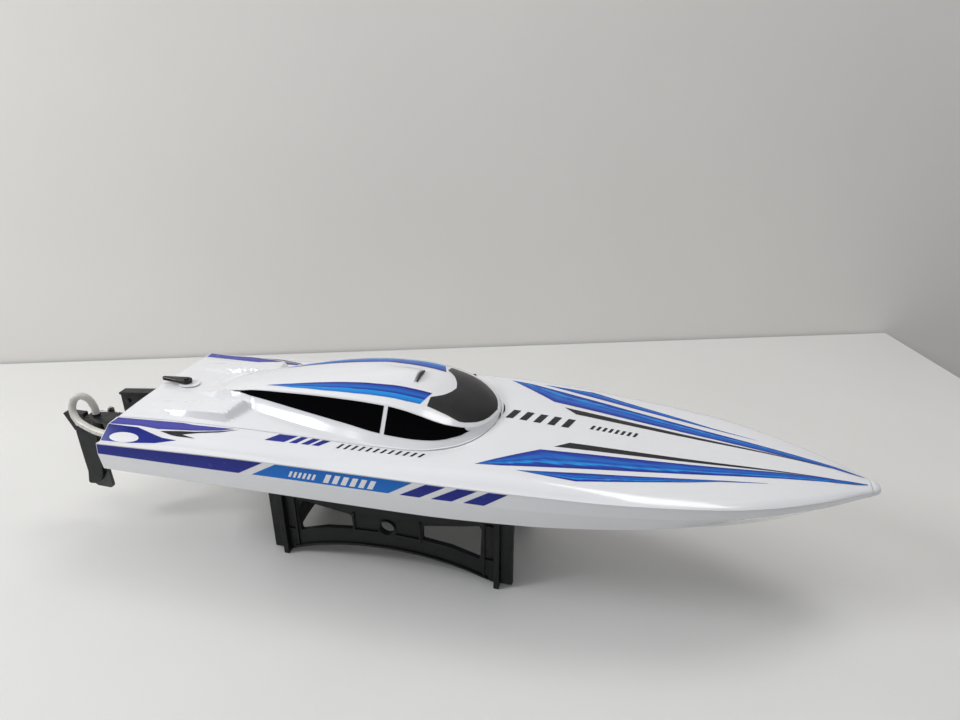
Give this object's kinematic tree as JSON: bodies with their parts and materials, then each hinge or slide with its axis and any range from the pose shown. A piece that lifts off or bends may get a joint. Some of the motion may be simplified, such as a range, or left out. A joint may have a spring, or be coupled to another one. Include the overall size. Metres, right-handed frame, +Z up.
{
  "type": "rc speedboat",
  "caption": "Deep-vee radio-controlled speedboat with lift-off canopy hatch, steering rudder, cooling tube, driven propeller and stand.",
  "frame": {"origin": "centre of the whole bounding box in plan, at the height the stand's feet rest on", "axes": "+X from the stern to the bow, +Y to port, +Z up"},
  "size_m": [0.7258, 0.1968, 0.1804],
  "materials": {
    "hull_white": "gloss",
    "deck_white": "gloss",
    "trim_black": "satin",
    "seal_grey": "matt",
    "rudder_black": "satin",
    "stainless": "satin",
    "tube_clear": "translucent",
    "barb_black": "satin",
    "brass": "satin",
    "jacket_alu": "anodised",
    "motor_can": "satin",
    "mount_alu": "satin",
    "tray_black": "matt",
    "servo_blue": "gloss",
    "horn_white": "matt",
    "receiver_black": "matt",
    "esc_black": "matt",
    "battery_wrap": "gloss",
    "strap_black": "woven",
    "prop_plastic": "gloss",
    "stand_black": "matt"
  },
  "bodies": {
    "stand": {"cradle_aft": "stand_black", "cradle_fore": "stand_black", "panel_starboard": "stand_black", "panel_port": "stand_black"},
    "hull": {"hull_lower": "hull_white", "deck": "deck_white", "transom_cap": "rudder_black", "coaming": "deck_white", "hatch_seal": "seal_grey", "bow_cap": "deck_white", "rudder_bracket": "rudder_black", "pivot_pin": "stainless", "bracket_screw_1": "stainless", "bracket_screw_2": "stainless", "rod_boot": "seal_grey", "inlet_barb": "barb_black", "hull_barb": "barb_black", "outlet_barb": "barb_black", "cooling_tube": "tube_clear", "water_in": "tube_clear", "water_out": "tube_clear", "water_jacket": "jacket_alu", "drive_strut": "rudder_black", "strut_screw": "stainless", "stuffing_tube": "brass", "motor_can": "motor_can", "motor_mount": "mount_alu", "equipment_tray": "tray_black", "servo_case": "servo_blue", "receiver": "receiver_black", "esc": "esc_black", "battery_tray": "tray_black", "battery": "battery_wrap", "battery_strap": "strap_black"},
    "hatch": {"hatch": "deck_white", "latch_pad": "deck_white", "intake_insert": "trim_black"},
    "latch": {"latch_lever": "trim_black", "latch_screw": "trim_black", "latch_cam": "trim_black"},
    "rudder": {"rudder_head": "rudder_black", "rudder_cheek": "rudder_black", "rudder_blade": "rudder_black", "rudder_screw": "rudder_black", "tiller_arm": "rudder_black", "linkage_stopper": "rudder_black", "stopper_screw": "stainless", "rod_tail": "stainless"},
    "push_rod": {"push_rod": "stainless"},
    "servo_arm": {"servo_horn": "horn_white", "servo_spline": "brass"},
    "drive": {"propeller": "prop_plastic", "prop_nut": "stainless", "drive_dog": "brass", "drive_shaft": "stainless", "coupler": "mount_alu", "motor_shaft": "stainless"}
  },
  "joints": [
    {"name": "boat_lift", "type": "slide", "parent": "stand", "child": "hull", "axis": [0, 0, 1], "range_m": [0, 0.12]},
    {"name": "hatch_lift", "type": "slide", "parent": "hull", "child": "hatch", "axis": [0, 0, 1], "range_m": [0, 0.1]},
    {"name": "latch_turn", "type": "hinge", "parent": "hatch", "child": "latch", "pos_m": [-0.261, 0, 0.1422], "axis": [0, 0, 1], "range_deg": [0, 90]},
    {"name": "rudder_steer", "type": "hinge", "parent": "hull", "child": "rudder", "pos_m": [-0.327, -0.05, 0.1162], "axis": [0, 0, 1], "range_deg": [-25, 25]},
    {"name": "push_rod_slide", "type": "slide", "parent": "hull", "child": "push_rod", "axis": [1, 0, 0], "range_m": [-0.008, 0.008]},
    {"name": "servo_turn", "type": "hinge", "parent": "hull", "child": "servo_arm", "pos_m": [-0.231, -0.05, 0.1142], "axis": [0, 0, 1], "range_deg": [-26, 26]},
    {"name": "shaft_spin", "type": "hinge", "parent": "hull", "child": "drive", "pos_m": [-0.287, 0, 0.0722], "axis": [0.9976, 0, 0.0698], "continuous": true}
  ],
  "couplings": [
    {"joint": "push_rod_slide", "follows": "rudder_steer", "m_per_rad": -0.018},
    {"joint": "servo_turn", "follows": "rudder_steer", "ratio": 1}
  ]
}
